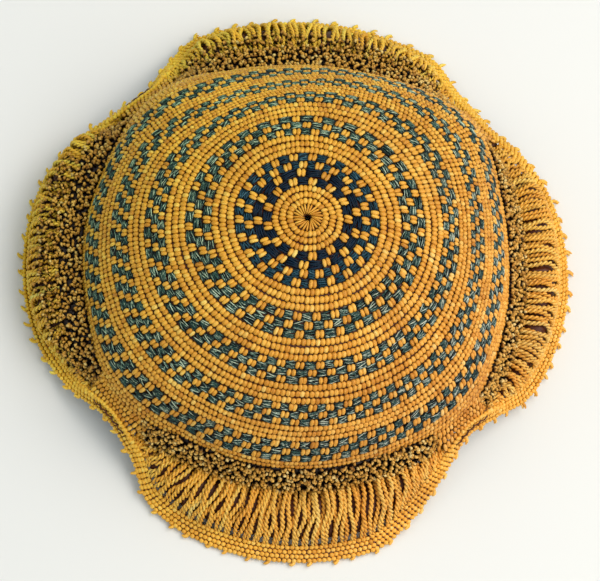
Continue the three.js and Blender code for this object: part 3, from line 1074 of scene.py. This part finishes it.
def buildPile():
    rng = np.random.default_rng(pileWork["seed"])
    paths, facing = [], []
    alongRow, acrossRow = pileWork["scatter"]
    for row in range(pileWork["rows"] + max(rows for *_, rows in pileWork["overCords"])):
        count = round(pileWork["radius"] * fullTurn / pileWork["spacing"])
        azimuth = spaced(count, row, rng.uniform(-alongRow, alongRow, count))
        opened = openness(azimuth)
        zone, lift, kept = "pile", pileWork["sunk"], opened > pileWork["shut"]
        share = (row + pileWork["start"]) / pileWork["rows"] + rng.uniform(-acrossRow, acrossRow, count)
        if row >= pileWork["rows"]:
            zone, lift, share = "cords", pileWork["onCords"], (share - 1) * pileWork["cordShare"]
            over = np.zeros(count, bool)
            for middle, half, ragged, rows in pileWork["overCords"]:
                away = np.abs(np.degrees(azimuth) - middle) + rng.uniform(-ragged, ragged, count)
                over |= (away < half) & (row < pileWork["rows"] + rows)
            kept &= over
        place = brimPlace(zone, azimuth[kept], share[kept], lift)
        height = pileWork["height"] * np.interp(opened[kept], (0, 1), (pileWork["shutHeight"], 1))
        path, normals = loopPaths(rng, place, height)
        paths.append(path)
        facing.append(normals)
    paths, facing = np.concatenate(paths), np.concatenate(facing)
    count = len(paths)
    # the loops' feet take painted shade
    rise = np.sin(np.linspace(0, math.pi, pileWork["stations"])) ** pileWork["blunt"]
    twist = plyTwist(rng, paths, pileWork["twist"])
    tone = tones(rng, pileWork["tone"], count)
    section = twoPly(pileWork["corners"], *pileWork["yarn"], pileWork["waist"])
    piece = sweepStrands("pile_loops", paths, facing, section, tone, twist, rise[None, :, None])
    finishPiece(piece, [pileRaffia], "loop_pile")


def buildPileGround():
    ground = wrapSlab("pile_ground", pileWork["groundColumns"], "pile", pileWork["groundShares"],
                      pileWork["groundTop"], pileWork["groundBottom"])
    finishPiece(ground, [pileShadeRaffia], "loop_pile")


cordWork = {
    "seed": 37,
    "cords": 360,
    "yarn": (2.3, 1.95),
    "waist": 0.5,
    "corners": 8,
    "stations": 29,
    "twist": 4.4,  # mm of cord for one full turn of its plies
    "leans": [(0, 0), (0, 0), (0, 0), (1.5, 6), (0, 0)],  # degrees in each lobe's middle and flanks
    "reach": (-0.06, 1.05),  # shares, from under the pile to under the border
    "upper": 0.9,  # how far the two layers stand apart from the slope at the pile
    "lower": -1.0,
    "sink": -0.9,
    "pinch": 0.17,  # these four are parts of the way to the next cord
    "scatter": 0.22,
    "wave": 0.3,
    "waves": (9, 23, 41),  # round the cap
    "sway": 0.55,
    "sways": (3, 8),  # radians along a cord
    "uneven": 0.4,  # mm
    "settled": (0.3, 0.95),  # shares between which the two layers come together
    "tone": (0.52, 0.12),
    "shut": 0.06,  # no cords show where a tuck is less open than this
    "drawn": 0.25,  # how much thinner they are where the border takes them
    "drawnSpan": (0.82, 1.0),
    "packedShares": (-0.04, 0.92, 6),  # the cords below end short of the holes at the border
    "packedTop": (-2.5, 0.4),  # lift and ridge
    "packedBottom": (-3.1, 0.3),
}


def leanAt(azimuth):
    # how far round the cords' inner ends lie from their outer ones
    edges = np.concatenate([tucks[-1:] - fullTurn, tucks, tucks[:1] + fullTurn])
    place = np.mod(azimuth, fullTurn)
    k = np.searchsorted(edges, place, side="right") - 1
    flank = (1 - 2 * (place - edges[k]) / (edges[k + 1] - edges[k])) ** 2
    lean = np.radians(cordWork["leans"])[k]
    return (lean[..., 0] * (1 - flank) + lean[..., 1] * flank) * (1 - flank ** 3)


def cordPaths(rng, share):
    # cords that leave the pile scattered, sway over one another and close in pairs at the border
    count = cordWork["cords"]
    number = np.arange(count)
    pitch = fullTurn / count
    share = share[None] + np.zeros((count, 1))
    within = np.clip(share, 0, 1)
    home = (number * pitch)[:, None]
    pinch = np.where(number % 2 == 0, 1, -1)[:, None] * cordWork["pinch"] * pitch
    inner = home + leanAt(home) + rng.normal(0, cordWork["scatter"], (count, 1)) * pitch
    waves = sum(np.sin(home * k + rng.uniform(0, fullTurn)) for k in cordWork["waves"])
    inner = inner + waves * cordWork["wave"] * pitch
    ease = smoothstep(within, 0.0, 1.0) * 0.5 + within * 0.5
    sway = share * rng.uniform(*cordWork["sways"], (count, 1))
    sway = np.sin(sway + rng.uniform(0, fullTurn, (count, 1)))
    sway = sway * pitch * cordWork["sway"] * np.sin(within * math.pi)
    azimuth = inner * (1 - ease) + (home + pinch) * ease + sway
    layer = np.where(number % 3 < 2, cordWork["upper"], cordWork["lower"])[:, None]
    layer = layer + rng.normal(0, cordWork["uneven"], (count, 1))
    opened = openness(azimuth)
    lift = layer * (1 - smoothstep(within, *cordWork["settled"])) * opened + cordWork["sink"]
    point, normal, _ = brimPlace("cords", azimuth, share, lift)
    kept = opened.mean(axis=1) > cordWork["shut"]
    return point[kept], normal[kept]


def buildCords():
    rng = np.random.default_rng(cordWork["seed"])
    share = np.linspace(*cordWork["reach"], cordWork["stations"])
    paths, facing = cordPaths(rng, share)
    count = len(paths)
    section = twoPly(cordWork["corners"], *cordWork["yarn"], cordWork["waist"])
    girth = np.hypot(*section[0].T)
    rise = np.tile(girth / girth.max(), (count, cordWork["stations"], 1))  # painted shade between the plies
    thin = 1 - cordWork["drawn"] * smoothstep(share, *cordWork["drawnSpan"])
    twist = plyTwist(rng, paths, cordWork["twist"])
    tone = tones(rng, cordWork["tone"], count)
    piece = sweepStrands("skirt_cords", paths, facing, section * thin[:, None, None], tone, twist, rise)
    finishPiece(piece, [cordRaffia], "cord_skirt")


def buildPackedCords():
    # more cords lie packed below the ones that show: a ridged slab stands in for them, painted dark
    # with the shade they lie in
    lower = wrapSlab("skirt_lower_cords", cordWork["cords"] * 2, "cords", cordWork["packedShares"],
                     cordWork["packedTop"], cordWork["packedBottom"], cordWork["cords"] / 2)
    finishPiece(lower, [shadedCordRaffia], "cord_skirt")


borderWork = {
    "seed": 53,
    "stitches": 372,
    "faces": [(1, 4, -0.7), (-1, 2, -1.5)],  # which way each looks, its rows and the wraps' lift
    "crowding": (1.08, 1.1),
    "thickness": 2.0,
    "lean": 20.0,
    "wobble": 6.0,
    "coreShares": (0.05, 0.95, 5),
    "coreTop": (-0.85, 0),
    "coreBottom": (-1.4, 0),
    "coreColumns": 360,
}


def buildBorder():
    # hitches worked over a core, so they show on both faces
    rng = np.random.default_rng(borderWork["seed"])
    spots = []
    count = borderWork["stitches"]
    wider, longer = borderWork["crowding"]
    for face, rows, lift in borderWork["faces"]:
        for row in range(rows):
            azimuth = spaced(count, row)
            point, normal, down = brimPlace("border", azimuth, (row + 0.5) / rows, lift)
            gap = np.linalg.norm(np.roll(point, -1, axis=0) - point, axis=1) / mm
            spots.append(hitchSpots(rng, (point, normal * face, down), gap * wider,
                                    dome["borderWidth"] / rows * longer, borderWork))
    hitch = modelHitch("border hitch")
    piece = stampCopies("border_hitches", hitch, joinSpots(spots))
    bpy.data.objects.remove(hitch)
    finishPiece(piece, [borderRaffia], "hitched_border")


def buildBorderCore():
    core = wrapSlab("border_core", borderWork["coreColumns"], "border", borderWork["coreShares"],
                    borderWork["coreTop"], borderWork["coreBottom"])
    # the border's core takes the same painted shade
    finishPiece(core, [shellRaffia], "hitched_border")


picotWork = {
    "seed": 71,
    "picots": 88,
    "fibres": 4,
    "section": (5, 1.2, 0.95),  # corners, width and height
    "taper": (1.0, 1.1, 1.15, 1.1, 1.0, 0.9, 0.75, 0.45),
    "foot": (0.95, -0.9),  # share of the border's width, and lift
    "length": 3.5,
    "lengths": (0.85, 1.12),
    "fibreLengths": (0.8, 1.05),
    "curl": (1.75, 0.3),  # radians from its foot to its tip, and their spread
    "fibreCurls": (0.75, 1.2),
    "spread": (-0.3, 0.25),  # mm to one side, in the mean and from fibre to fibre
    "gather": 0.3,  # how much of that is lost by the tip
    "fray": 0.2,
    "scatter": 0.15,  # of the way to the next picot
    "tone": (0.6, 0.15),
    "wornAt": 285,  # degrees; shorter by a part round here
    "worn": 0.24,
    "wornSpan": (0.0, 0.7),  # of the cosine of the angle from there
    "clear": 0.5,  # mm they stay above the floor
}


def buildPicots():
    # each is a tuft hooked over clockwise: fibres that leave the border as one and fray a little
    rng = np.random.default_rng(picotWork["seed"])
    count, stations = picotWork["picots"], len(picotWork["taper"])
    steps = np.linspace(0, 1, stations)[None, :, None]
    paths, facing, tone = [], [], []
    home = spaced(count, 0, rng.uniform(-picotWork["scatter"], picotWork["scatter"], count))
    point, normal, down = brimPlace("border", home, *picotWork["foot"])
    side = np.cross(down, normal)
    outward = unit(down * (1, 1, 0))
    curl = rng.normal(*picotWork["curl"], (count, 1, 1))
    worn = smoothstep(np.cos(home - np.radians(picotWork["wornAt"])), *picotWork["wornSpan"])
    size = picotWork["length"] * rng.uniform(*picotWork["lengths"], (count, 1, 1))
    size = size * (1 - picotWork["worn"] * worn[:, None, None])
    for _ in range(picotWork["fibres"]):
        bend = curl * rng.uniform(*picotWork["fibreCurls"], (count, 1, 1))
        length = size * rng.uniform(*picotWork["fibreLengths"], (count, 1, 1))
        spread = rng.normal(*picotWork["spread"], (count, 1, 1)) * (1 - steps * picotWork["gather"])
        fray = rng.normal(0, picotWork["fray"], (count, 1, 1)) * (1 + steps)
        route = (outward[:, None] * np.sin(bend * steps) / bend * length
                 + side[:, None] * ((1 - np.cos(bend * steps)) / bend * length + spread)
                 + normal[:, None] * fray)
        paths.append(point[:, None] + route * mm)
        facing.append(np.repeat(normal[:, None], stations, axis=1))
        tone.append(tones(rng, picotWork["tone"], count))
    paths = np.concatenate(paths)
    paths[..., 2] = np.maximum(paths[..., 2], picotWork["clear"] * mm)
    section = ellipse(*picotWork["section"]) * np.array(picotWork["taper"])[:, None, None]
    piece = sweepStrands("picots", paths, np.concatenate(facing), section, np.concatenate(tone))
    finishPiece(piece, [borderRaffia], "picot_edge")


addCamera()
addFloor()
addLights()
print("camera, floor and lights ready")
crownRowList = crownRows()
print(len(crownRowList), "rows in the crown's coil")
buildCrownShell()
buildCrownHitches(crownRowList)
buildBlueFloats(crownRowList)
buildPile()
buildPileGround()
buildCords()
buildPackedCords()
buildBorder()
buildBorderCore()
buildPicots()
